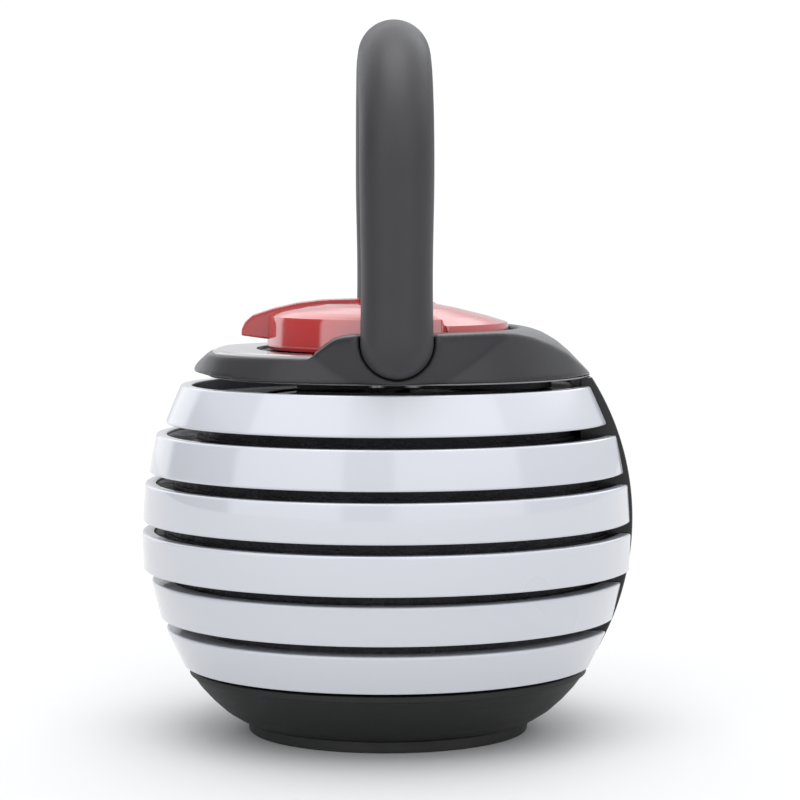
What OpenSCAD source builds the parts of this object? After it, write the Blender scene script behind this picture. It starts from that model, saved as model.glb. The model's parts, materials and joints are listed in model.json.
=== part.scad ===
// Adjustable kettlebell docked in its base tray.
// X runs from handle leg to handle leg, -Y is the front with the scale plate, Z is up, z = 0 is the floor.
// Six ring weights stack on the base; a dial on the handle unit turns selector discs under their catches.

/* [Overall] */
// Longest outside length of the weights, front to back
body_length = 219.6; // [196:0.2:240]
// Width of the oval plan divided by its length
plan_ratio = 0.8; // [0.7:0.01:1]
// Height of the whole object from floor to top of the handle
total_height = 313.8; // [300:0.1:340]

/* [Weights] */
// Height from the floor to the lowest band
band_start = 30.7; // [28:0.1:34]
// Distance from one weight to the next
band_pitch = 21.6; // [20:0.1:24]
// Height of the pale band of each weight
band_height = 17; // [14:0.5:19]
// Thickness of the band ring
band_wall = 5; // [3:0.5:8]
// How far the black neck between two bands is set back
neck_setback = 11; // [6:0.5:16]
// Radius of the round hole through every weight
weight_bore = 49; // [44:0.5:52]

/* [Handle] */
// Radius of the grip at the top bar
grip_radius = 15.4; // [14:0.1:18]
// Radius of the legs at their slimmest
leg_radius = 14.8; // [13:0.1:16]
// Distance of each leg from the middle
leg_x = 73.5; // [70:0.5:78]
// How far the handle stands behind the shaft
handle_y = 1.8; // [-4:0.1:6]
// Radius of the corner bends along the middle of the bar
bend_radius = 50; // [34:0.5:56]

/* [Dial and selector] */
// Radius of the dial
dial_radius = 54; // [50:0.5:56]
// Angle between two weight settings
setting_step = 8; // [7:0.5:8]
// Radius of the selector shaft
shaft_radius = 10; // [8:0.5:12]
// Radius of the selector flanges
flange_radius = 46; // [42:0.5:47]
// Clearance between sliding parts
slide_gap = 0.6; // [0.3:0.1:1]

/* [Spine] */
// Width of the rear spine
spine_width = 44; // [36:1:52]
// Radius of the curved back of the spine
spine_curve = 117; // [110:0.1:130]
// How far the spine reaches behind the shaft
spine_back = 107.3; // [104:0.1:110]

/* [Hidden] */
$fn = 96;
half = body_length / 2;
// half lengths of the bands at their lower and upper edges, lowest weight last
low_edge = half * [0.906, 0.971, 0.997, 0.995, 0.929, 0.837];
high_edge = half * [0.839, 0.940, 0.986, 1.000, 0.9645, 0.909];
tray_edge = 0.812 * half;
function band_low(k) = band_start + band_pitch * (6 - k);
function band_high(k) = band_low(k) + band_height;
function rest_z(k) = band_low(k) - band_pitch + band_height;
function band_inner(k) = min(low_edge[k - 1], high_edge[k - 1]) - band_wall;
function below_edge(k) = k == 6 ? tray_edge : high_edge[k];
function neck(k) = min(min(low_edge[k - 1], below_edge(k)) - neck_setback, band_inner(k) - 3.5);
function boss(k) = k == 1 ? 72 : min(neck(k - 1) + 1.5, band_inner(k) - 0.6);
// z of the underside of the catch ring in weight k
function catch_z(k) = band_low(k) + 8;
spine_in = 83;
stack_top = band_high(1);
housing_top = stack_top + 3.7;
chassis_top = housing_top + 2.6;
shell_z = stack_top + 4.3;
trim_z = shell_z - 0.6;
shell_y = 1.4;
lip_y = 5;
deck_z = stack_top + 13.4;
deck_top = stack_top + 14.6;
ledge_z = deck_z - 1.2;
plate_z = stack_top + 14.3;
dial_z = stack_top + 15.9;
bar_z = total_height - grip_radius;
bend_z = bar_z - bend_radius;
foot_rod_z = chassis_top + 3.5;
tip_radius = 15.2;
tip_z = foot_rod_z - 3 + tip_radius;
rod = 6.5;
elbow = 9;

// turns a round shape into the oval plan
module oval() {
  scale([plan_ratio, 1, 1]) children();
}

// a sector of a ring between two angles
module sector(inner, outer, from, to, z, h) {
  translate([0, 0, z])
    rotate([0, 0, from])
      rotate_extrude(angle = to - from)
        translate([inner, 0])
          square([outer - inner, h]);
}

// room for the rear spine in everything it slides past
module spine_room(low, high) {
  translate([-spine_width / 2 - slide_gap, spine_in, low])
    cube([spine_width + 2 * slide_gap, 60, high - low]);
}

module weight_core(k) {
  low = rest_z(k);
  top = band_high(k);
  edge = band_inner(k);
  difference() {
    oval()
      rotate_extrude()
        polygon([
          [0, low],
          [neck(k), low],
          [neck(k), band_low(k) + 3],
          [edge - 0.1, band_low(k) + 3],
          [edge - 0.1, top - 1.2],
          [boss(k), top - 1.2],
          [boss(k), top],
          [0, top]
        ]);
    translate([0, 0, low - 1])
      cylinder(r = weight_bore, h = band_pitch + 2);
    translate([0, 0, catch_z(k)])
      cylinder(r = weight_bore + 7.1, h = band_pitch);
    spine_room(low - 1, top + 1);
    // step in front of the housing of the handle unit
    if (k == 1)
      translate([-100, -140, top - 5])
        cube([200, 100, 10]);
  }
}

module weight_band(k) {
  low = band_low(k);
  top = band_high(k);
  a = low_edge[k - 1];
  b = high_edge[k - 1];
  edge = band_inner(k);
  difference() {
    oval()
      rotate_extrude()
        polygon([
          [edge - 2.5, low + 1],
          [edge, low],
          [a - 1, low],
          [a - 0.3, low + 0.3],
          [a, low + 1],
          [b, top - 2],
          [b - 0.6, top - 0.6],
          [b - 2, top],
          [edge + 0.5, top],
          [edge, top - 0.5],
          [edge, low + 3],
          [edge - 2.5, low + 3]
        ]);
    spine_room(low - 1, top + 1);
  }
}

module weight_catch(k) {
  z = catch_z(k);
  difference() {
    translate([0, 0, z])
      cylinder(r = weight_bore + 7, h = 3);
    translate([0, 0, z - 1])
      cylinder(r = weight_bore, h = 5);
  }
  for (side = [0, 90, 180, 270])
    sector(flange_radius - 8, weight_bore + 0.5, side - 2.5, side + 2.5, z, 3);
}

module selector_disc(k) {
  z = catch_z(k) - 4.5;
  window_from = 4 - k * setting_step;
  window_to = 86 - 6 * setting_step;
  difference() {
    union() {
      difference() {
        translate([0, 0, z])
          cylinder(r = flange_radius, h = 3.5);
        for (side = [0, 90, 180, 270])
          sector(flange_radius - 11, flange_radius + 9, side + window_from, side + window_to, z - 1, 6);
      }
      translate([0, 0, z - 4])
        cylinder(r = shaft_radius + 5, h = 11);
    }
    translate([0, 0, z - 5])
      cylinder(r = shaft_radius, h = 14);
  }
}

module tray_screw(sx, sy) {
  translate([30 * sx, 40 * sy, 0]) {
    translate([0, 0, 1.5])
      cylinder(r = 4.2, h = 2);
    translate([0, 0, 3.4])
      cylinder(r = 2, h = 4.2);
  }
}

module hub_screw(side) {
  translate([20 * side, 0, 0]) {
    translate([0, 0, 11])
      cylinder(r = 3, h = 1.8);
    translate([0, 0, 6.5])
      cylinder(r = 1.6, h = 4.6);
  }
}

// the steel bar inside the grip, also the shape of the channel cut for it
module bar_path(r) {
  translate([-leg_x + bend_radius, handle_y, bar_z])
    rotate([0, 90, 0])
      cylinder(r = r, h = 2 * (leg_x - bend_radius));
  for (side = [-1, 1]) {
    translate([side * (leg_x - bend_radius), handle_y, bend_z])
      rotate([90, 0, 0])
        rotate([0, 0, side > 0 ? 0 : 90])
          rotate_extrude(angle = 90)
            translate([bend_radius, 0])
              circle(r = r);
    translate([side * leg_x, handle_y, foot_rod_z + elbow])
      cylinder(r = r, h = bend_z - foot_rod_z - elbow);
  }
}

module bar_foot(r, inner) {
  for (side = [-1, 1]) {
    translate([side * (leg_x - elbow), handle_y, foot_rod_z + elbow])
      rotate([90, 0, 0])
        rotate([0, 0, side > 0 ? 270 : 180])
          rotate_extrude(angle = 90)
            translate([elbow, 0])
              circle(r = r);
    translate([side * inner, handle_y, foot_rod_z])
      rotate([0, side * 90, 0])
        cylinder(r = r, h = leg_x - elbow - inner);
  }
}

module leg(side, extra) {
  slim_z = 205;
  translate([side * leg_x, handle_y, slim_z])
    cylinder(r1 = leg_radius + extra, r2 = grip_radius + extra, h = bend_z - slim_z);
  translate([side * leg_x, handle_y, tip_z])
    cylinder(r1 = tip_radius + extra, r2 = leg_radius + extra, h = slim_z - tip_z);
  translate([side * leg_x, handle_y, tip_z])
    sphere(r = tip_radius + extra);
}

module clamp_block(side) {
  difference() {
    translate([side > 0 ? 36 : -52, handle_y - 12, chassis_top])
      cube([16, 24, deck_z - chassis_top]);
    translate([side * 38, handle_y, foot_rod_z])
      rotate([0, side * 90, 0])
        cylinder(r = 3.5, h = 20);
    for (y = [-7.5, 7.5])
      translate([side * 44, handle_y + y, chassis_top - 1])
        cylinder(r = 2, h = 10);
  }
}

module clamp_screw(side, y) {
  translate([side * 44, handle_y + y, 0]) {
    translate([0, 0, housing_top - 2.2])
      cylinder(r = 4, h = 2.2);
    translate([0, 0, housing_top - 0.1])
      cylinder(r = 1.98, h = 7);
  }
}

module spine_screw(side) {
  translate([side * 13, 70, 0]) {
    translate([0, 0, chassis_top])
      cylinder(r = 3.5, h = 2);
    translate([0, 0, housing_top - 2.5])
      cylinder(r = 1.8, h = 5.2);
  }
}

// outline of the upper shell seen from the side
function shell_side() = [
  [-60, shell_z - 4],
  [-60, shell_z],
  [-76, shell_z + 0.5],
  [-81, shell_z + 1.2],
  [-88.6, shell_z + 1.8],
  [-88.4, shell_z + 2.4],
  [-85.5, shell_z + 6.0],
  [-82.7, shell_z + 8.6],
  [-81.0, shell_z + 9.9],
  [-80.4, shell_z + 10.2],
  [-37.9, shell_z + 10.2],
  [-34.2, shell_z + 12.1],
  [-30.3, shell_z + 15.3],
  [-26.8, shell_z + 18.1],
  [-25.2, shell_z + 19.0],
  [-23.4, shell_z + 19.6],
  [-19.9, shell_z + 20.4],
  [-15, shell_z + 20.9],
  [-10, shell_z + 21],
  [100, shell_z + 21],
  [100, shell_z - 4]
];

module shell_solid() {
  intersection() {
    union() {
      oval()
        translate([0, 0, shell_z])
          cylinder(r1 = 88.9, r2 = 79.4, h = 22);
      intersection() {
        for (side = [-1, 1])
          translate([side * 50, handle_y - shell_y, tip_z])
            rotate([0, side * 90, 0])
              cylinder(r1 = 50, r2 = tip_radius + 2.4, h = 25);
        translate([-100, -50, shell_z])
          cube([200, 100, 30]);
      }
    }
    rotate([90, 0, 90])
      linear_extrude(height = 200, center = true)
        polygon(shell_side());
    scale([1.35, 1, 1]) {
      rotate_extrude()
        polygon([
          [0, shell_z - 1],
          [89.9, shell_z - 1],
          [88.9, shell_z],
          [83.0, shell_z + 6.2],
          [78.5, shell_z + 10.8],
          [73.1, shell_z + 15.3],
          [67.1, shell_z + 18.8],
          [62.3, shell_z + 20.4],
          [58.3, shell_z + 21.0],
          [0, shell_z + 21.0]
        ]);
      // the front half runs out to a sharper edge under the scale plate
      intersection() {
        rotate_extrude()
          polygon([
            [0, shell_z - 1],
            [88.8, shell_z - 1],
            [88.7, shell_z + 2.2],
            [85.7, shell_z + 6.0],
            [82.9, shell_z + 8.6],
            [81.2, shell_z + 9.9],
            [80.5, shell_z + 10.4],
            [73.1, shell_z + 15.3],
            [67.1, shell_z + 18.8],
            [62.3, shell_z + 20.4],
            [58.3, shell_z + 21.0],
            [0, shell_z + 21.0]
          ]);
        translate([-100, -100, shell_z - 2])
          cube([200, 100, 30]);
      }
    }
  }
}

// outline of the dial: 0 for its front, 1 for the lower part behind the notches
function knob_side(back) = [
  [0, dial_z],
  [dial_radius - 1.2, dial_z],
  [dial_radius, dial_z + 1.2],
  [dial_radius, dial_z + (back > 0 ? 10.6 : 13.3)],
  [dial_radius - 0.8, dial_z + (back > 0 ? 11.6 : 14.4)],
  [dial_radius - 3.2, dial_z + (back > 0 ? 12.3 : 15.6)],
  [48, dial_z + (back > 0 ? 13.2 : 16.7)],
  [44, dial_z + (back > 0 ? 14.4 : 17.7)],
  [38, dial_z + (back > 0 ? 15.9 : 18.9)],
  [30, dial_z + (back > 0 ? 17.9 : 20.0)],
  [19, dial_z + (back > 0 ? 20.0 : 20.4)],
  [0, dial_z + 20.6]
];

// the raised pointer that runs over the dial and out past its edge
module dial_ridge(extra) {
  w = 6.5 + extra;
  translate([-w, 0, 0])
    rotate([90, 0, 90])
      linear_extrude(height = 2 * w)
        polygon([
          [-65.05, dial_z + 5.8],
          [-64.9, dial_z + 8.6],
          [-63.4, dial_z + 11.8],
          [-60.3, dial_z + 14.6],
          [-51.1, dial_z + 17.7],
          [-40.2, dial_z + 20.2],
          [-29.4, dial_z + 21.5],
          [-14.1, dial_z + 22.0],
          [4, dial_z + 22.2],
          [8, dial_z + 21.8],
          [10 + extra, dial_z + 20.8],
          [10 + extra, dial_z + 15 - extra],
          [-43, dial_z + 11 - extra],
          [-50, dial_z + 4.6 - extra],
          [-54.2, dial_z + 4.3 - extra]
        ]);
}

module base_tray() {
  color([0.16, 0.165, 0.165]) {
    difference() {
      oval()
        rotate_extrude()
          polygon([
            [0, 5],
            [62.5, 5],
            [64.8, 5.4],
            [68.2, 7.0],
            [71.2, 8.8],
            [73.8, 10.6],
            [77.0, 13.2],
            [79.6, 15.9],
            [82.2, 18.6],
            [84.4, 21.2],
            [86.2, 23.4],
            [87.6, 25.6],
            [88.0, 26.2],
            [tray_edge, 26.6],
            [tray_edge, 28.7],
            [tray_edge - 0.6, 29.3],
            [tray_edge - 3.4, 29.3],
            [tray_edge - 4, 28.7],
            [tray_edge - 4, 27],
            [82, 24.6],
            [67, 24.6],
            [67, 14],
            [61, 8],
            [0, 8]
          ]);
      for (sx = [-1, 1])
        for (sy = [-1, 1])
          translate([30 * sx, 40 * sy, 4])
            cylinder(r = 2.02, h = 3.62);
      for (side = [-1, 1])
        translate([20 * side, 0, 6.48])
          cylinder(r = 1.62, h = 4);
    }
  }
}

module base_foot_ring() {
  color([0.09, 0.09, 0.09]) {
    difference() {
      oval()
        rotate_extrude()
          polygon([
            [0, -2],
            [62.7, -2],
            [62.7, 0.8],
            [63.4, 5],
            [0, 5]
          ]);
      translate([-100, -100, -10])
        cube([200, 200, 10]);
      for (sx = [-1, 1])
        for (sy = [-1, 1])
          translate([30 * sx, 40 * sy, -1]) {
            cylinder(r = 4.5, h = 4.5);
            cylinder(r = 2.3, h = 8);
          }
    }
  }
}

module base_hub() {
  color([0.12, 0.12, 0.125]) {
    difference() {
      union() {
        translate([0, 0, 8])
          cylinder(r = 25, h = 3);
        translate([0, 0, 8])
          cylinder(r = 15, h = 15);
      }
      translate([0, 0, 9])
        cylinder(r = shaft_radius + 0.4, h = 20);
      for (side = [-1, 1])
        translate([20 * side, 0, 7])
          cylinder(r = 1.7, h = 6);
    }
  }
}

module base_liner() {
  color([0.08, 0.08, 0.085]) {
    oval()
      rotate_extrude()
        translate([67.5, 24.6])
          square([10, rest_z(6) - 24.6]);
  }
}

module tray_screw_front_left() {
  color([0.55, 0.56, 0.58]) {
    tray_screw(-1, -1);
  }
}

module tray_screw_back_left() {
  color([0.55, 0.56, 0.58]) {
    tray_screw(-1, 1);
  }
}

module tray_screw_front_right() {
  color([0.55, 0.56, 0.58]) {
    tray_screw(1, -1);
  }
}

module tray_screw_back_right() {
  color([0.55, 0.56, 0.58]) {
    tray_screw(1, 1);
  }
}

module hub_screw_left() {
  color([0.55, 0.56, 0.58]) {
    hub_screw(-1);
  }
}

module hub_screw_right() {
  color([0.55, 0.56, 0.58]) {
    hub_screw(1);
  }
}

module weight_core_1() {
  color([0.07, 0.07, 0.075]) {
    weight_core(1);
  }
}

module weight_band_1() {
  color([0.84, 0.85, 0.88]) {
    weight_band(1);
  }
}

module weight_catch_1() {
  color([0.5, 0.51, 0.53]) {
    weight_catch(1);
  }
}

module weight_core_2() {
  color([0.07, 0.07, 0.075]) {
    weight_core(2);
  }
}

module weight_band_2() {
  color([0.84, 0.85, 0.88]) {
    weight_band(2);
  }
}

module weight_catch_2() {
  color([0.5, 0.51, 0.53]) {
    weight_catch(2);
  }
}

module weight_core_3() {
  color([0.07, 0.07, 0.075]) {
    weight_core(3);
  }
}

module weight_band_3() {
  color([0.84, 0.85, 0.88]) {
    weight_band(3);
  }
}

module weight_catch_3() {
  color([0.5, 0.51, 0.53]) {
    weight_catch(3);
  }
}

module weight_core_4() {
  color([0.07, 0.07, 0.075]) {
    weight_core(4);
  }
}

module weight_band_4() {
  color([0.84, 0.85, 0.88]) {
    weight_band(4);
  }
}

module weight_catch_4() {
  color([0.5, 0.51, 0.53]) {
    weight_catch(4);
  }
}

module weight_core_5() {
  color([0.07, 0.07, 0.075]) {
    weight_core(5);
  }
}

module weight_band_5() {
  color([0.84, 0.85, 0.88]) {
    weight_band(5);
  }
}

module weight_catch_5() {
  color([0.5, 0.51, 0.53]) {
    weight_catch(5);
  }
}

module weight_core_6() {
  color([0.07, 0.07, 0.075]) {
    weight_core(6);
  }
}

module weight_band_6() {
  color([0.84, 0.85, 0.88]) {
    weight_band(6);
  }
}

module weight_catch_6() {
  color([0.5, 0.51, 0.53]) {
    weight_catch(6);
  }
}

module lower_housing() {
  color([0.08, 0.08, 0.085]) {
    difference() {
      intersection() {
        oval()
          translate([0, 0, stack_top])
            cylinder(r = 76, h = housing_top - stack_top);
        translate([-37, -40, stack_top - 1])
          cube([74, 140, 10]);
      }
      translate([0, 0, stack_top - 1])
        cylinder(r = shaft_radius + 6, h = 6);
      translate([-spine_width / 2 - 0.1, 58, stack_top - 1])
        cube([spine_width + 0.2, 40, 6]);
    }
  }
}

module rear_spine() {
  color([0.15, 0.15, 0.155]) {
    intersection() {
      union() {
        translate([-spine_width / 2, spine_in + slide_gap, band_start - 0.7])
          cube([spine_width, 40, trim_z - band_start + 0.7]);
        translate([-spine_width / 2, 58.1, stack_top])
          cube([spine_width, 30, housing_top - stack_top]);
      }
      translate([-50, spine_back - spine_curve, 96.6])
        rotate([0, 90, 0])
          cylinder(r = spine_curve, h = 100);
      difference() {
        translate([-60, 0, 0])
          cube([120, 130, 200]);
        for (side = [-1, 1])
          translate([side * 13, 70, stack_top - 1])
            cylinder(r = 1.82, h = 5);
      }
    }
  }
}

module chassis_plate() {
  color([0.48, 0.49, 0.51]) {
    difference() {
      translate([0, 3, housing_top])
        oval()
          cylinder(r = 73, h = chassis_top - housing_top);
      translate([0, 0, housing_top - 1])
        cylinder(r = shaft_radius + 3, h = 6);
      for (side = [-1, 1]) {
        for (y = [-7.5, 7.5])
          translate([side * 44, handle_y + y, housing_top - 1])
            cylinder(r = 2.1, h = 6);
        translate([side * 13, 70, housing_top - 1])
          cylinder(r = 1.9, h = 6);
      }
    }
  }
}

module top_shell() {
  color([0.30, 0.30, 0.31]) {
    difference() {
      translate([0, shell_y, 0])
        shell_solid();
      // dial well, with a ledge for its floor
      translate([0, 0, deck_z])
        cylinder(r = dial_radius + 4, h = 40);
      translate([0, 0, shell_z])
        cylinder(r = dial_radius + 1.5, h = 20);
      // hollow underside
      translate([0, lip_y, shell_z - 1])
        oval()
          cylinder(r = 80, h = 2);
      translate([0, lip_y, shell_z - 1])
        oval()
          cylinder(r1 = 80, r2 = 73, h = ledge_z - shell_z + 1);
      // seat of the scale plate
      intersection() {
        translate([0, shell_y, plate_z])
          oval()
            cylinder(r = 83.6, h = 6);
        translate([0, shell_y, plate_z])
          scale([1.35, 1, 1])
            cylinder(r = 79.4, h = 6);
        translate([-80, -90, plate_z])
          cube([160, 57.2, 6]);
      }
      for (side = [-1, 1])
        leg(side, 0.3);
      bar_foot(4, 46);
    }
  }
}

module dial_seat() {
  color([0.05, 0.05, 0.05]) {
    difference() {
      translate([0, 0, deck_z])
        cylinder(r = dial_radius + 3.9, h = deck_top - deck_z);
      translate([0, 0, deck_z - 1])
        cylinder(r = shaft_radius + 3, h = 5);
      for (side = [-1, 1])
        leg(side, 0.3);
      bar_foot(4, 46);
    }
  }
}

module shell_trim() {
  color([0.62, 0.62, 0.63]) {
    translate([0, lip_y, 0])
      oval()
        rotate_extrude()
          polygon([
            [79.8, trim_z],
            [84.4, trim_z],
            [84.9, trim_z + 0.3],
            [84.9, shell_z],
            [79.8, shell_z]
          ]);
  }
}

module scale_plate() {
  color([0.93, 0.93, 0.93]) {
    intersection() {
      difference() {
        translate([0, shell_y, 0])
          oval()
            rotate_extrude()
              polygon([
                [0, plate_z],
                [83.4, plate_z],
                [83.4, plate_z + 0.5],
                [82.2, plate_z + 1.2],
                [80.4, plate_z + 1.6],
                [0, plate_z + 1.6]
              ]);
        translate([0, 0, plate_z - 1])
          cylinder(r = dial_radius + 4.6, h = 6);
      }
      translate([0, shell_y, 0])
        scale([1.35, 1, 1])
          rotate_extrude()
            polygon([
              [0, plate_z - 1],
              [79.2, plate_z - 1],
              [79.2, plate_z + 0.5],
              [78.0, plate_z + 1.2],
              [76.2, plate_z + 1.6],
              [0, plate_z + 1.6]
            ]);
      translate([-80, -90, plate_z - 1])
        cube([160, 56.9, 6]);
    }
  }
}

module handle_grip() {
  color([0.31, 0.31, 0.325]) {
    difference() {
      union() {
        translate([-leg_x + bend_radius, handle_y, bar_z])
          rotate([0, 90, 0])
            cylinder(r = grip_radius, h = 2 * (leg_x - bend_radius));
        for (side = [-1, 1]) {
          translate([side * (leg_x - bend_radius), handle_y, bend_z])
            rotate([90, 0, 0])
              rotate([0, 0, side > 0 ? 0 : 90])
                rotate_extrude(angle = 90)
                  translate([bend_radius, 0])
                    circle(r = grip_radius);
          leg(side, 0);
        }
      }
      bar_path(rod);
      bar_foot(3.55, 46);
    }
  }
}

module handle_core() {
  color([0.5, 0.51, 0.53]) {
    union() {
      bar_path(rod - 0.05);
      bar_foot(3.45, 38.3);
    }
  }
}

module clamp_block_left() {
  color([0.45, 0.46, 0.48]) {
    clamp_block(-1);
  }
}

module clamp_block_right() {
  color([0.45, 0.46, 0.48]) {
    clamp_block(1);
  }
}

module clamp_screw_front_left() {
  color([0.6, 0.61, 0.63]) {
    clamp_screw(-1, -7.5);
  }
}

module clamp_screw_back_left() {
  color([0.6, 0.61, 0.63]) {
    clamp_screw(-1, 7.5);
  }
}

module clamp_screw_front_right() {
  color([0.6, 0.61, 0.63]) {
    clamp_screw(1, -7.5);
  }
}

module clamp_screw_back_right() {
  color([0.6, 0.61, 0.63]) {
    clamp_screw(1, 7.5);
  }
}

module spine_screw_left() {
  color([0.6, 0.61, 0.63]) {
    spine_screw(-1);
  }
}

module spine_screw_right() {
  color([0.6, 0.61, 0.63]) {
    spine_screw(1);
  }
}

module shaft_bush() {
  color([0.75, 0.68, 0.5]) {
    difference() {
      union() {
        translate([0, 0, stack_top + 0.5])
          cylinder(r = shaft_radius + 2.9, h = deck_top - stack_top - 0.5);
        translate([0, 0, stack_top + 0.5])
          cylinder(r = shaft_radius + 5.6, h = 3.2);
      }
      translate([0, 0, stack_top - 1])
        cylinder(r = shaft_radius + 0.05, h = 30);
    }
  }
}

module dial_knob() {
  color([0.74, 0.10, 0.11]) {
    difference() {
      rotate_extrude()
        polygon(knob_side(0));
      // the lower part behind the two notches
      difference() {
        translate([0, 0, dial_z + 8])
          linear_extrude(height = 20)
            polygon([
              [-80, 53.8],
              [-30, 6],
              [-10, 16],
              [10, 16],
              [30, 6],
              [80, 53.8],
              [80, 90],
              [-80, 90]
            ]);
        rotate_extrude()
          polygon(knob_side(1));
      }
      dial_ridge(0.05);
      translate([0, 0, dial_z - 1])
        cylinder(r = shaft_radius + 0.02, h = 9);
      translate([0, 0, dial_z + 7])
        cylinder(r = 3.02, h = 20);
      translate([0, 0, dial_z + 9])
        cylinder(r = 7, h = 8);
      for (side = [0, 1])
        mirror([side, 0, 0])
          rotate([0, 0, 26])
            translate([36, -1.2, dial_z + 8])
              rotate([0, -18, 12])
                cube([40, 2.4, 20]);
    }
  }
}

module dial_pointer() {
  color([0.70, 0.09, 0.10]) {
    dial_ridge(0);
  }
}

module dial_screw() {
  color([0.6, 0.61, 0.63]) {
    translate([0, 0, dial_z + 9])
      cylinder(r = 5.5, h = 3);
    translate([0, 0, dial_z - 4])
      cylinder(r = 3, h = 13.1);
  }
}

module selector_shaft() {
  color([0.52, 0.53, 0.55]) {
    difference() {
      union() {
        translate([0, 0, 14])
          cylinder(r = shaft_radius, h = dial_z + 8 - 14);
        translate([0, 0, 12])
          cylinder(r1 = shaft_radius - 2, r2 = shaft_radius, h = 2);
      }
      translate([0, 0, stack_top - 2.2])
        difference() {
          cylinder(r = shaft_radius + 5, h = 1.2);
          translate([0, 0, -1])
            cylinder(r = shaft_radius - 1.2, h = 4);
        }
      translate([0, 0, dial_z - 4.5])
        cylinder(r = 3.02, h = 20);
    }
  }
}

module selector_disc_1() {
  color([0.42, 0.43, 0.45]) {
    selector_disc(1);
  }
}

module selector_disc_2() {
  color([0.42, 0.43, 0.45]) {
    selector_disc(2);
  }
}

module selector_disc_3() {
  color([0.42, 0.43, 0.45]) {
    selector_disc(3);
  }
}

module selector_disc_4() {
  color([0.42, 0.43, 0.45]) {
    selector_disc(4);
  }
}

module selector_disc_5() {
  color([0.42, 0.43, 0.45]) {
    selector_disc(5);
  }
}

module selector_disc_6() {
  color([0.42, 0.43, 0.45]) {
    selector_disc(6);
  }
}

module shaft_clip() {
  color([0.3, 0.3, 0.32]) {
    translate([0, 0, stack_top - 2.2])
      difference() {
        cylinder(r = shaft_radius + 3.5, h = 1.2);
        translate([0, 0, -1])
          cylinder(r = shaft_radius - 1.2, h = 4);
        translate([-3, 0, -1])
          cube([6, 30, 4]);
      }
  }
}

module thrust_washer() {
  color([0.8, 0.8, 0.78]) {
    translate([0, 0, deck_top])
      difference() {
        cylinder(r = shaft_radius + 9, h = dial_z - deck_top);
        translate([0, 0, -1])
          cylinder(r = shaft_radius, h = 6);
      }
  }
}

base_tray();
base_foot_ring();
base_hub();
base_liner();
tray_screw_front_left();
tray_screw_back_left();
tray_screw_front_right();
tray_screw_back_right();
hub_screw_left();
hub_screw_right();
weight_core_1();
weight_band_1();
weight_catch_1();
weight_core_2();
weight_band_2();
weight_catch_2();
weight_core_3();
weight_band_3();
weight_catch_3();
weight_core_4();
weight_band_4();
weight_catch_4();
weight_core_5();
weight_band_5();
weight_catch_5();
weight_core_6();
weight_band_6();
weight_catch_6();
lower_housing();
rear_spine();
chassis_plate();
top_shell();
dial_seat();
shell_trim();
scale_plate();
handle_grip();
handle_core();
clamp_block_left();
clamp_block_right();
clamp_screw_front_left();
clamp_screw_back_left();
clamp_screw_front_right();
clamp_screw_back_right();
spine_screw_left();
spine_screw_right();
shaft_bush();
dial_knob();
dial_pointer();
dial_screw();
selector_shaft();
selector_disc_1();
selector_disc_2();
selector_disc_3();
selector_disc_4();
selector_disc_5();
selector_disc_6();
shaft_clip();
thrust_washer();
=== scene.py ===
import bpy
import json
import math
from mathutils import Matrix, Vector


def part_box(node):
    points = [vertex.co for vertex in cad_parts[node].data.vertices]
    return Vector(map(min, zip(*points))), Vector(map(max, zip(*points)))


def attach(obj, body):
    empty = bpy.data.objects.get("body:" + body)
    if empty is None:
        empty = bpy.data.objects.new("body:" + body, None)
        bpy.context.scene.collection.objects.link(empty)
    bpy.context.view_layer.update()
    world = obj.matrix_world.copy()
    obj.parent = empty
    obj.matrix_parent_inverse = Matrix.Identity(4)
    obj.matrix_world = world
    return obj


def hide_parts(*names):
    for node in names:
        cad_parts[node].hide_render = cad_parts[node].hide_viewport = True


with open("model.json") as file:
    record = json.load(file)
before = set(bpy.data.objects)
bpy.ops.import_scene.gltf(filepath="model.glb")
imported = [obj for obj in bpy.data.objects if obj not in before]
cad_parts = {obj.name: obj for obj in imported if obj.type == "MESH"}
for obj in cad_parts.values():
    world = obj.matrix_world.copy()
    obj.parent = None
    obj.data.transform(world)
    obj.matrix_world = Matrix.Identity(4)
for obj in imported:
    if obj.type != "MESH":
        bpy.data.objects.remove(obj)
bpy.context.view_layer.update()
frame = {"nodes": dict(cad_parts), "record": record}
MM = 0.001
RATIO = 0.8                     # width of the oval plan over its length
AROUND = 288                    # faces round an oval piece


# ---------------------------------------------------------------- mesh tools
SHARP = math.radians(35)        # edges that turn more than this are shaded as edges


def add_mesh(name, verts, faces):
    mesh = bpy.data.meshes.new(name)
    mesh.from_pydata([tuple(v) for v in verts], [], faces)
    mesh.validate()
    mesh.polygons.foreach_set("use_smooth", [True] * len(mesh.polygons))
    mesh.set_sharp_from_angle(angle=SHARP)
    mesh.update()
    obj = bpy.data.objects.new(name, mesh)
    bpy.context.scene.collection.objects.link(obj)
    return obj


FOLDED, STRAIGHT = math.radians(2), math.radians(179)     # corners outside these stay as they are
MOST_OF_SIDE = 0.45                                       # how much of a side one corner may take


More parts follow.
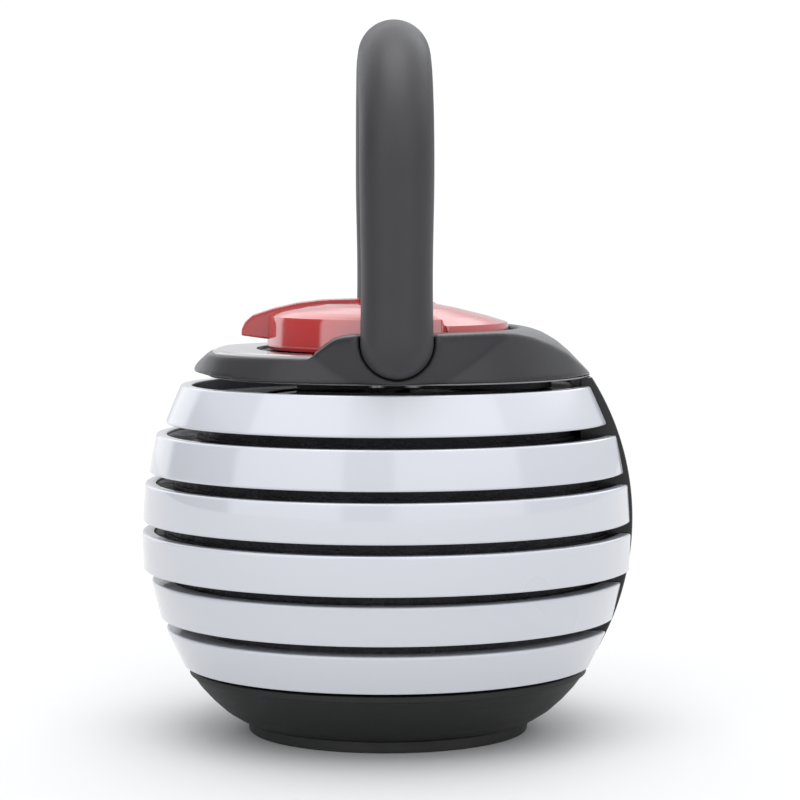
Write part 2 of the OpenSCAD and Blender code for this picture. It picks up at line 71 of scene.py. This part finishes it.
def rounded(points, steps=5):
    """A closed outline of (x, y, corner radius) points in mm, with its corners turned into arcs."""
    out = []
    n = len(points)
    for i in range(n):
        p = Vector(points[i][:2])
        radius = points[i][2] if len(points[i]) > 2 else 0.0
        a = Vector(points[i - 1][:2]) - p
        b = Vector(points[(i + 1) % n][:2]) - p
        if radius <= 0 or a.length < 1e-6 or b.length < 1e-6:
            out.append(p)
            continue
        a_dir, b_dir = a.normalized(), b.normalized()
        angle = a_dir.angle(b_dir)
        if not FOLDED <= angle <= STRAIGHT:
            out.append(p)
            continue
        reach = min(radius / math.tan(angle / 2), MOST_OF_SIDE * a.length, MOST_OF_SIDE * b.length)
        start, end = p + a_dir * reach, p + b_dir * reach
        for s in range(steps + 1):
            t = s / steps
            out.append(start * (1 - t) ** 2 + p * 2 * t * (1 - t) + end * t ** 2)
    return out


def oval_ring(name, outline, gap=None):
    """Turns a closed outline (r, z in mm) round the z axis into an oval ring.

    gap is the half width in mm of an opening at the back, for the rear spine.
    """
    n = len(outline)
    verts, faces = [], []
    turns = AROUND + 1 if gap else AROUND
    for i in range(turns):
        for r, z in outline:
            if gap:
                end = math.pi - math.asin(min(1.0, gap / (RATIO * r)))
                t = -end + 2 * end * i / AROUND
            else:
                t = 2 * math.pi * i / AROUND
            verts.append((RATIO * r * math.sin(t) * MM, -r * math.cos(t) * MM, z * MM))
    for i in range(AROUND):
        j = (i + 1) % turns
        for k in range(n):
            m = (k + 1) % n
            faces.append((i * n + k, j * n + k, j * n + m, i * n + m))
    if gap:
        faces.append(tuple(range(n)))
        faces.append(tuple(reversed(range(AROUND * n, AROUND * n + n))))
    return add_mesh(name, verts, faces)


def oval_disc(name, profile, ratio=RATIO, around=AROUND, shape=None):
    """Turns an open profile that starts and ends on the axis into a closed solid.

    shape(r, z, t) may move each point, t being the angle round the axis from the front.
    """
    inner = profile[1:-1]
    n = len(inner)
    verts = [(0, 0, profile[0][1] * MM), (0, 0, profile[-1][1] * MM)]
    faces = []
    for i in range(around):
        t = 2 * math.pi * i / around
        for r, z in inner:
            if shape:
                r, z = shape(r, z, t)
            verts.append((ratio * r * math.sin(t) * MM, -r * math.cos(t) * MM, z * MM))
    for i in range(around):
        j = (i + 1) % around
        a, b = 2 + i * n, 2 + j * n
        faces.append((0, b, a))
        for k in range(n - 1):
            faces.append((a + k, b + k, b + k + 1, a + k + 1))
        faces.append((1, a + n - 1, b + n - 1))
    return add_mesh(name, verts, faces)


def tube(name, stations, sides=72):
    """A round bar through (centre, direction, radius) stations, closed at both ends."""
    verts, faces = [], []
    side = Vector((0, 1, 0))
    for centre, along, radius in stations:
        up = along.cross(side).normalized()
        for i in range(sides):
            t = 2 * math.pi * i / sides
            verts.append(centre + (side * math.cos(t) + up * math.sin(t)) * radius)
    rings = len(stations)
    for k in range(rings - 1):
        for i in range(sides):
            j = (i + 1) % sides
            faces.append((k * sides + i, k * sides + j, (k + 1) * sides + j, (k + 1) * sides + i))
    faces.append(tuple(reversed(range(sides))))
    faces.append(tuple(range((rings - 1) * sides, rings * sides)))
    return add_mesh(name, verts, faces)


# ---------------------------------------------------------------- materials
def nodes_of(name):
    mat = bpy.data.materials.new(name)
    mat.use_nodes = True
    tree = mat.node_tree
    return mat, tree, tree.nodes["Principled BSDF"]


def noise(tree, scale, detail=4.0, rough=0.55, stretch=None):
    coords = tree.nodes.new("ShaderNodeTexCoord")
    out = coords.outputs["Object"]
    if stretch:
        mapping = tree.nodes.new("ShaderNodeMapping")
        mapping.inputs["Scale"].default_value = stretch
        tree.links.new(out, mapping.inputs["Vector"])
        out = mapping.outputs["Vector"]
    tex = tree.nodes.new("ShaderNodeTexNoise")
    tex.inputs["Scale"].default_value = scale
    tex.inputs["Detail"].default_value = detail
    tex.inputs["Roughness"].default_value = rough
    tree.links.new(out, tex.inputs["Vector"])
    return tex.outputs["Fac"]


def ramp(tree, value, low, high, start=0.3, end=0.7):
    """Maps start...end to low...high, which are two colours or two plain numbers."""
    node = tree.nodes.new("ShaderNodeValToRGB")
    for element, place, colour in zip(node.color_ramp.elements, (start, end), (low, high)):
        element.position = place
        if isinstance(colour, float):
            colour = (colour,) * 3
        element.color = (*colour, 1)
    tree.links.new(value, node.inputs["Fac"])
    return node.outputs["Color"]


def bump(tree, shader, heights, distance):
    """heights is a list of (value, strength); the bumps are chained."""
    last = None
    for value, strength in heights:
        node = tree.nodes.new("ShaderNodeBump")
        node.inputs["Strength"].default_value = strength
        node.inputs["Distance"].default_value = distance
        tree.links.new(value, node.inputs["Height"])
        if last:
            tree.links.new(last, node.inputs["Normal"])
        last = node.outputs["Normal"]
    tree.links.new(last, shader.inputs["Normal"])


ROUGH_PATCH = 2.7               # how much finer the roughness patches are than the colour patches


def surface(name, low, high, rough, grain, metallic=0.0, coat=0.0, coat_rough=0.1, patch=18.0,
            distance=0.0002, spec=0.5, stretch=None, coat_ior=1.5, detail=5.0, start=0.3, end=0.7):
    """A material with patches of colour and roughness and a fine grain.

    low and high are the colours of its darker and lighter patches, patch their scale, and start
    and end the noise values at which they are reached. rough is (lowest, highest) and grain is
    [(scale, strength), ...] for the bumps, which are distance metres high.
    """
    mat, tree, shader = nodes_of(name)
    shader.inputs["Metallic"].default_value = metallic
    shader.inputs["Specular IOR Level"].default_value = spec
    shader.inputs["Coat Weight"].default_value = coat
    shader.inputs["Coat Roughness"].default_value = coat_rough
    shader.inputs["Coat IOR"].default_value = coat_ior
    colour = ramp(tree, noise(tree, patch, detail), low, high, start, end)
    tree.links.new(colour, shader.inputs["Base Color"])
    finer = noise(tree, patch * ROUGH_PATCH, detail + 1, 0.6, stretch)
    tree.links.new(ramp(tree, finer, *rough, start, end), shader.inputs["Roughness"])
    bump(tree, shader, [(noise(tree, s, 3.0, 0.6, stretch), k) for s, k in grain], distance)
    return mat


LOOKS = {
    "pale_silver_enamel": dict(
        low=(0.515, 0.527, 0.573), high=(0.540, 0.552, 0.600), rough=(0.26, 0.31),
        grain=[(420.0, 0.010), (60.0, 0.010)], coat=1.0, coat_rough=0.02, patch=9.0, spec=0.4,
        coat_ior=1.7, detail=0.0, start=0.0, end=1.0,
    ),
    "black_cast_iron": dict(
        low=(0.006, 0.006, 0.0085), high=(0.020, 0.020, 0.0245), rough=(0.24, 0.55),
        grain=[(260.0, 1.0), (900.0, 0.9)], patch=40.0, distance=0.0008, spec=0.4,
    ),
    "shell_plastic": dict(
        low=(0.0215, 0.0211, 0.0242), high=(0.027, 0.0265, 0.0297), rough=(0.34, 0.44),
        grain=[(2600.0, 0.22), (700.0, 0.06)], coat=0.6, coat_rough=0.2, patch=14.0, spec=0.2,
        coat_ior=1.33,
    ),
    "grip_soft_touch": dict(
        low=(0.027, 0.0265, 0.0305), high=(0.033, 0.0323, 0.0367), rough=(0.40, 0.52),
        grain=[(3200.0, 0.25), (500.0, 0.05)], patch=11.0, spec=0.4,
    ),
    "base_plastic": dict(
        low=(0.006, 0.0062, 0.0065), high=(0.009, 0.0092, 0.0095), rough=(0.46, 0.58),
        grain=[(2400.0, 0.25), (600.0, 0.05)], patch=16.0, spec=0.35,
    ),
    "spine_plastic": dict(
        low=(0.008, 0.008, 0.009), high=(0.012, 0.012, 0.013), rough=(0.4, 0.54),
        grain=[(2400.0, 0.2), (500.0, 0.05)], coat=0.6, coat_rough=0.2, patch=16.0, spec=0.2,
        coat_ior=1.33,
    ),
    "inner_plastic": dict(
        low=(0.010, 0.010, 0.011), high=(0.018, 0.018, 0.019), rough=(0.4, 0.6),
        grain=[(1800.0, 0.25)], patch=25.0,
    ),
    # light grey trim lip under the shell, kept thin: partly a real light trim, partly a painted
    # highlight for the bright line along the shell's lower edge
    "trim_plastic": dict(
        low=(0.30, 0.30, 0.31), high=(0.38, 0.38, 0.39), rough=(0.35, 0.5), grain=[(2200.0, 0.15)],
        patch=30.0,
    ),
    "foot_rubber": dict(
        low=(0.012, 0.012, 0.012), high=(0.022, 0.022, 0.022), rough=(0.6, 0.8),
        grain=[(1500.0, 0.4)], patch=25.0,
    ),
    "dial_red": dict(
        low=(0.49, 0.030, 0.032), high=(0.55, 0.038, 0.040), rough=(0.3, 0.4),
        grain=[(500.0, 0.012), (90.0, 0.010)], coat=1.0, coat_rough=0.025, patch=20.0, spec=0.2,
        coat_ior=2.2,
    ),
    "pointer_red": dict(
        low=(0.36, 0.014, 0.017), high=(0.43, 0.019, 0.022), rough=(0.3, 0.4),
        grain=[(500.0, 0.015)], coat=1.0, coat_rough=0.04, patch=20.0, spec=0.2, coat_ior=1.8,
    ),
    "scale_white": dict(
        low=(0.235, 0.224, 0.228), high=(0.262, 0.250, 0.254), rough=(0.08, 0.16),
        grain=[(300.0, 0.01)], coat=0.9, coat_rough=0.04, patch=14.0, coat_ior=1.7,
    ),
    "zinc_steel": dict(
        low=(0.42, 0.43, 0.45), high=(0.56, 0.57, 0.59), rough=(0.25, 0.45), grain=[(900.0, 0.2)],
        metallic=1.0, patch=45.0, stretch=(1.0, 1.0, 8.0),
    ),
    "phosphated_steel": dict(
        low=(0.13, 0.13, 0.14), high=(0.2, 0.2, 0.215), rough=(0.35, 0.55), grain=[(900.0, 0.2)],
        metallic=0.9, patch=45.0,
    ),
    "screw_steel": dict(
        low=(0.36, 0.37, 0.39), high=(0.5, 0.51, 0.53), rough=(0.22, 0.4), grain=[(1200.0, 0.2)],
        metallic=1.0, patch=60.0,
    ),
    "bush_plastic": dict(
        low=(0.52, 0.50, 0.44), high=(0.62, 0.60, 0.54), rough=(0.4, 0.55), grain=[(1500.0, 0.2)],
        patch=30.0,
    ),
}
looks = {name: surface(name, **values) for name, values in LOOKS.items()}

slots = {s["node"]: s["material_slot"] for s in frame["record"]["subparts"]}
for node, obj in frame["nodes"].items():
    for i in range(max(1, len(obj.material_slots))):
        if obj.material_slots:
            obj.material_slots[i].material = looks[slots[node]]
        else:
            obj.data.materials.append(looks[slots[node]])


def dress(obj, body, *nodes):
    """Gives a new piece its look and its body, and hides the CAD nodes that it stands for."""
    slot = slots[nodes[0]]
    obj.data.materials.append(looks[slot])
    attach(obj, body)
    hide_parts(*nodes)
    return obj


def span(node):
    """A CAD node's box in mm."""
    low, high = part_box(node)
    return low / MM, high / MM


# ---------------------------------------------------------------- weights
SPINE_ROOM = 22.6               # half width of the notch for the spine
WALL, FLANGE = 5, 2.5           # thickness of a band, and the flange at its lower edge
# half length of each band's lower and upper edge over that of the widest edge, from the top down
LOW_EDGE = [0.906, 0.971, 0.997, 0.995, 0.929, 0.837]
HIGH_EDGE = [0.839, 0.940, 0.986, 1.000, 0.9645, 0.909]
WIDEST = -span("weight_band_4")[0][1]
for k, (under, over) in enumerate(zip(LOW_EDGE, HIGH_EDGE), start=1):
    low, high = span(f"weight_band_{k}")
    under, over = under * WIDEST, over * WIDEST
    inside = min(under, over) - WALL
    z0, z1 = low[2], high[2]
    ring = rounded([
        (inside - FLANGE, z0 + 1, 0.3),
        (inside, z0 + 0.1, 0.3),
        (under - 0.1, z0, 1.0),
        ((under + over) / 2, (z0 + z1) / 2, 0),
        (over, z1, 1.2),
        (inside + 0.2, z1, 0.8),
        (inside, z0 + 3, 0),
        (inside - FLANGE, z0 + 3, 0),
    ], 6)
    dress(oval_ring(f"band_{k}", ring, gap=SPINE_ROOM), f"weight_{k}", f"weight_band_{k}")

# ---------------------------------------------------------------- base tray
low, high = span("base_tray")
edge = high[1]
tray = rounded([
    (2, low[2], 0),
    (62.5, low[2], 0.5),
    (64.8, 5.4, 2),
    (68.2, 7.0, 3),
    (73.8, 10.6, 6),
    (79.6, 15.9, 8),
    (84.4, 21.2, 8),
    (87.6, 25.6, 1),
    (88.0, 26.3, 0.4),
    (edge, 26.7, 0.3),
    (edge, 29.3, 0.7),
    (edge - 4, 29.3, 0.7),
    (edge - 4, 27, 1),
    (82, 24.6, 1),
    (67, 24.6, 0.5),
    (67, 14, 2),
    (61, 8, 2),
    (2, 8, 0),
], 8)
dress(oval_ring("tray", tray), "base", "base_tray")
foot = rounded([(0, 0, 0), (62.6, 0, 0.8), (63.3, 5, 0.2), (0, 5, 0)], 5)
dress(oval_disc("foot", foot), "base", "base_foot_ring")

# ---------------------------------------------------------------- spine
CURVE = 117.0                   # radius of its back
CURVE_Z = 96.6                  # height at which the back stands out furthest
INNER_Y = 83.6
LEVELS = 56
low, high = span("rear_spine")
half_w = (high[0] - low[0]) / 2
verts, faces = [], []
for i in range(LEVELS + 1):
    z = low[2] + (high[2] - low[2]) * i / LEVELS
    y_out = high[1] - CURVE + math.sqrt(CURVE ** 2 - (z - CURVE_Z) ** 2)
    outline = rounded([(-half_w, INNER_Y, 0.5), (half_w, INNER_Y, 0.5),
                       (half_w, y_out, 2.6), (0, y_out, 0), (-half_w, y_out, 2.6)], 6)
    verts += [(p[0] * MM, p[1] * MM, z * MM) for p in outline]
n = len(outline)
for i in range(LEVELS):
    for k in range(n):
        m = (k + 1) % n
        faces.append((i * n + k, i * n + m, (i + 1) * n + m, (i + 1) * n + k))
faces.append(tuple(reversed(range(n))))
faces.append(tuple(range(LEVELS * n, (LEVELS + 1) * n)))
dress(add_mesh("spine", verts, faces), "handle_unit", "rear_spine")

# ---------------------------------------------------------------- handle grip
R_TOP, R_SLIM, R_TIP = 15.4, 14.8, 15.2      # radius over the top, at the waist and at the tip
BEND = 50.0                     # radius of the two upper corners, at the middle of the bar
SLIM_Z = 205.0                  # height of the waist
TIP_STEPS, LEG_STEPS, BEND_STEPS = 12, 40, 24
low, high = span("handle_grip")
grip_y = (low[1] + high[1]) / 2
leg_x = high[0] - R_TOP
bend_z = high[2] - R_TOP - BEND
tip_z = low[2] + R_TIP


def leg_radius(z):
    """The leg swells upward from the waist to the bend and downward to the tip."""
    if z >= SLIM_Z:
        t = min(1.0, (z - SLIM_Z) / (bend_z - SLIM_Z))
        return R_SLIM + (R_TOP - R_SLIM) * t * t * (3 - 2 * t)
    t = min(1.0, (SLIM_Z - z) / (SLIM_Z - tip_z))
    return R_SLIM + (R_TIP - R_SLIM) * t * t


up = Vector((0, 0, 1))
left = []                       # stations of the left leg and bend, from the tip up
for i in range(TIP_STEPS):
    t = math.radians(3 + 87 * i / TIP_STEPS)
    centre = Vector((-leg_x, grip_y, tip_z - R_TIP * math.cos(t)))
    left.append((centre, up, R_TIP * math.sin(t)))
for i in range(LEG_STEPS + 1):
    z = tip_z + (bend_z - tip_z) * i / LEG_STEPS
    left.append((Vector((-leg_x, grip_y, z)), up, leg_radius(z)))
for i in range(1, BEND_STEPS + 1):
    t = math.pi / 2 * i / BEND_STEPS
    centre = Vector((-leg_x + BEND - BEND * math.cos(t), grip_y, bend_z + BEND * math.sin(t)))
    left.append((centre, Vector((math.sin(t), 0, math.cos(t))), R_TOP))
right = [(Vector((-c.x, c.y, c.z)), Vector((d.x, d.y, -d.z)), r) for c, d, r in reversed(left)]
path = [(c * MM, d, r * MM) for c, d, r in left + right]
dress(tube("grip", path), "handle_unit", "handle_grip")

# ---------------------------------------------------------------- dial
# (radius, height over the underside) of the dial's top, in front of and behind the notches
FRONT = [(54, 13.3), (53.2, 14.4), (50.8, 15.6), (48, 16.7), (44, 17.7),
         (38, 18.9), (30, 20.0), (19, 20.4), (0, 20.6)]
BACK = [(54, 10.6), (53.2, 11.6), (50.8, 12.3), (48, 13.2), (44, 14.4),
        (38, 15.9), (30, 17.9), (19, 20.0), (0, 20.6)]
WALL_LOW, WALL_HIGH = 1.2, 13.3              # where the upright part of the side starts and ends
BACK_DROP = FRONT[0][1] - BACK[0][1]
DRAFT = 0.065                                # how much each step of the side leans in
DOME_STEP = 0.75
low, high = span("dial_knob")
dial_z, dial_top = low[2], high[2]
R_DIAL = high[0] + 0.05


def height(side, r):
    """Height of the dial's top over its underside at a radius."""
    for (r1, z1), (r0, z0) in zip(side, side[1:]):
        if r >= r0:
            return z0 + (z1 - z0) * min(1.0, (r - r0) / (r1 - r0))
    return side[-1][1]


dome_radii = [R_DIAL - 1.0 - i * DOME_STEP for i in range(int((R_DIAL - 2) / DOME_STEP))]
dome = [(r, dial_z + height(FRONT, r)) for r in dome_radii]
wall = [(R_DIAL - 1.2, dial_z), (R_DIAL - 0.4, dial_z + 0.3), (R_DIAL, dial_z + WALL_LOW)]
wall += [(R_DIAL - DRAFT * i, dial_z + WALL_LOW + (WALL_HIGH - 1.6) * i / 10) for i in range(1, 11)]
underside = [(0, dial_z), (10, dial_z), (40, dial_z)]
profile = underside + wall + dome + [(0.5, dial_top), (0, dial_top)]


def clamp(t):
    return max(0.0, min(1.0, t))


def near(x, y, a, b):
    """How far (x, y) lies from the segment a to b."""
    ax, ay = a
    bx, by = b
    along = (x - ax) * (bx - ax) + (y - ay) * (by - ay)
    t = clamp(along / ((bx - ax) ** 2 + (by - ay) ** 2))
    return math.hypot(x - ax - t * (bx - ax), y - ay - t * (by - ay))


NOTCH = math.radians(26)                     # angle of the notches behind the x axis
NOTCH_OUT = (56 * math.cos(NOTCH), 56 * math.sin(NOTCH))
NOTCH_IN = (30, 6)
NOTCH_HALF = 1.3                             # half width of a notch
SIDE_DEPTH, TOP_DEPTH = 2.0, 1.4             # depth of a notch in the side and in the top
SLOPE_OUT, SLOPE_IN = 0.957, 0.5             # of the step's line, on each side of the inner end
STEP_WIDE = 0.8                              # length over which the front drops to the back


def grooves(r, z, t):
    """Lowers the back of the dial behind its two notches and cuts the notches themselves."""
    x, y = abs(r * math.sin(t)), -r * math.cos(t)
    past = x - NOTCH_IN[0]
    edge_y = NOTCH_IN[1] + (past * SLOPE_OUT if past > 0 else -past * SLOPE_IN)
    back = clamp(0.5 + (y - edge_y) / STEP_WIDE)
    if z > dial_z + WALL_LOW + 0.1:
        if r > R_DIAL - 0.7:
            squeeze = 1 - back * BACK_DROP / (WALL_HIGH - WALL_LOW)
            z = dial_z + WALL_LOW + (z - dial_z - WALL_LOW) * squeeze
        else:
            z -= back * (height(FRONT, r) - height(BACK, r))
    depth = max(0.0, 1 - (near(x, y, NOTCH_OUT, NOTCH_IN) / NOTCH_HALF) ** 2)
    if depth > 0 and r > R_DIAL - 1.8:
        return r - SIDE_DEPTH * depth, z
    if depth > 0 and z > dial_z + 5:
        return r, z - TOP_DEPTH * depth
    return r, z


dress(oval_disc("dial", profile, ratio=1.0, around=720, shape=grooves), "dial", "dial_knob")

# ---------------------------------------------------------------- shell and pointer
SHELL_VOXEL = 0.0007
POINTER_VOXEL = 0.0004


def soften(node, voxel, iterations):
    """Rounds the edges of a CAD piece with modifiers, which leave its own mesh alone."""
    obj = frame["nodes"][node]
    remesh = obj.modifiers.new("round_edges", "REMESH")
    remesh.mode = "VOXEL"
    remesh.voxel_size = voxel
    remesh.use_smooth_shade = True
    smooth = obj.modifiers.new("soften", "SMOOTH")
    smooth.factor = 0.5
    smooth.iterations = iterations


soften("top_shell", SHELL_VOXEL, 24)
soften("dial_pointer", POINTER_VOXEL, 6)

# ---------------------------------------------------------------- floor
FAR = 6                         # half width of the floor
GLOW = 1.02                     # away from the object the floor glows as pale as the backdrop
GLOW_FROM, GLOW_TO = 0.08, 0.36              # distances over which the glow takes over
corners = [(-FAR, -FAR, 0), (FAR, -FAR, 0), (FAR, FAR, 0), (-FAR, FAR, 0)]
floor_mesh = bpy.data.meshes.new("floor")
floor_mesh.from_pydata(corners, [], [(0, 1, 2, 3)])
floor = bpy.data.objects.new("floor", floor_mesh)
bpy.context.scene.collection.objects.link(floor)
pale, tree, shader = nodes_of("floor_pale")
shader.inputs["Roughness"].default_value = 0.7
floor_colour = ramp(tree, noise(tree, 2.0, 4.0), 0.60, 0.63)
tree.links.new(floor_colour, shader.inputs["Base Color"])
bump(tree, shader, [(noise(tree, 300.0), 0.01)], 0.0002)
glow = tree.nodes.new("ShaderNodeEmission")
glow.inputs["Strength"].default_value = GLOW
spot = tree.nodes.new("ShaderNodeTexCoord")
distance = tree.nodes.new("ShaderNodeVectorMath")
distance.operation = "LENGTH"
tree.links.new(spot.outputs["Object"], distance.inputs[0])
fade = tree.nodes.new("ShaderNodeMapRange")
fade.interpolation_type = "SMOOTHSTEP"
fade.inputs["From Min"].default_value = GLOW_FROM
fade.inputs["From Max"].default_value = GLOW_TO
tree.links.new(distance.outputs["Value"], fade.inputs["Value"])
mix = tree.nodes.new("ShaderNodeMixShader")
tree.links.new(fade.outputs["Result"], mix.inputs["Fac"])
tree.links.new(shader.outputs["BSDF"], mix.inputs[1])
tree.links.new(glow.outputs["Emission"], mix.inputs[2])
tree.links.new(mix.outputs["Shader"], tree.nodes["Material Output"].inputs["Surface"])
floor_mesh.materials.append(pale)

# ---------------------------------------------------------------- the room's light
# (azimuth from the x axis in degrees, strength): two wide soft panels on the camera's side with a
# darker gap between them, a dark sector in front of the object, and light behind it
LOW_ROOM = [
    (-180, 0.74), (-160, 0.78), (-150, 1.35), (-125, 1.35), (-118, 0.10), (-70, 0.10),
    (-66, 1.45), (-19, 1.45), (-17, 0.55), (1, 0.55), (3, 1.40), (54, 1.40), (56, 0.60),
    (90, 0.62), (144, 0.66), (165, 0.72), (180, 0.74),
]
HIGH_ROOM = [
    (-180, 1.5), (-125, 1.5), (-118, 0.65), (-70, 0.65), (-66, 1.75), (-19, 1.75), (-17, 1.30),
    (1, 1.30), (3, 1.75), (54, 1.75), (56, 0.95), (90, 1.3), (120, 2.0), (150, 2.0), (180, 1.5),
]
LOW_TO_HIGH = (16, 26)          # elevations between which the lower room turns into the upper one
HIGH_TO_CEILING = (48, 56)
CEILING = 1.0
BACKDROP = 1.06                 # what the camera sees directly

world = bpy.data.worlds.new("studio")
bpy.context.scene.world = world
world.use_nodes = True
tree = world.node_tree
background = tree.nodes["Background"]
background.inputs["Color"].default_value = (0.97, 0.98, 1.0, 1)
view = tree.nodes.new("ShaderNodeTexCoord")
parts = tree.nodes.new("ShaderNodeSeparateXYZ")
tree.links.new(view.outputs["Generated"], parts.inputs["Vector"])
turn = tree.nodes.new("ShaderNodeMath")
turn.operation = "ARCTAN2"
tree.links.new(parts.outputs["Y"], turn.inputs[0])
tree.links.new(parts.outputs["X"], turn.inputs[1])
part = tree.nodes.new("ShaderNodeMapRange")
part.inputs["From Min"].default_value = -math.pi
part.inputs["From Max"].default_value = math.pi
tree.links.new(turn.outputs["Value"], part.inputs["Value"])


def sweep(stops):
    """Brightness round the room: (azimuth in degrees, strength) from -180 to 180."""
    node = tree.nodes.new("ShaderNodeValToRGB")
    tree.links.new(part.outputs["Result"], node.inputs["Fac"])
    while len(node.color_ramp.elements) < len(stops):
        node.color_ramp.elements.new(0.5)
    for element, (azimuth, value) in zip(node.color_ramp.elements, stops):
        element.position = azimuth / 360 + 0.5
        element.color = (value, value, value, 1)
    return node.outputs["Color"]


def blend(share, lower, upper):
    """Mixes two strengths, each a socket or a number."""
    node = tree.nodes.new("ShaderNodeMix")
    node.data_type = "FLOAT"
    tree.links.new(share, node.inputs[0])
    for socket, value in ((node.inputs[2], lower), (node.inputs[3], upper)):
        if isinstance(value, float):
            socket.default_value = value
        else:
            tree.links.new(value, socket)
    return node.outputs[0]


def above(angles, lower, upper):
    """Goes from one brightness to another as the direction climbs between two elevations."""
    rise = tree.nodes.new("ShaderNodeMapRange")
    rise.interpolation_type = "SMOOTHSTEP"
    rise.inputs["From Min"].default_value = math.sin(math.radians(angles[0]))
    rise.inputs["From Max"].default_value = math.sin(math.radians(angles[1]))
    tree.links.new(parts.outputs["Z"], rise.inputs["Value"])
    return blend(rise.outputs["Result"], lower, upper)


walls = above(LOW_TO_HIGH, sweep(LOW_ROOM), sweep(HIGH_ROOM))
room = above(HIGH_TO_CEILING, walls, CEILING)
ray = tree.nodes.new("ShaderNodeLightPath")
level = blend(ray.outputs["Is Camera Ray"], room, BACKDROP)
tree.links.new(level, background.inputs["Strength"])

# a softbox overhead
light = bpy.data.lights.new("top", "AREA")
light.shape = "SQUARE"
light.size = 1.4
light.energy = 19
softbox = bpy.data.objects.new("top", light)
bpy.context.scene.collection.objects.link(softbox)
softbox.location = (0.15, 0, 1.8)
softbox.rotation_mode = "QUATERNION"
softbox.rotation_quaternion = Vector((-0.15, 0, -1.7)).to_track_quat("-Z", "Y")

# ---------------------------------------------------------------- camera, fitted to the photograph
EYE = Vector((0.9465, -0.0232, 0.2240))
YAW, TILT = math.radians(1.724), math.radians(4.58)
camera = bpy.data.objects.new("camera", bpy.data.cameras.new("camera"))
bpy.context.scene.collection.objects.link(camera)
camera.data.sensor_width = 36
camera.data.lens = 95.67
look = Vector((-math.cos(YAW) * math.cos(TILT), math.sin(YAW) * math.cos(TILT), -math.sin(TILT)))
camera.location = EYE
camera.rotation_mode = "QUATERNION"
camera.rotation_quaternion = look.to_track_quat("-Z", "Y")
bpy.context.scene.camera = camera
bpy.context.scene.view_settings.view_transform = "Standard"
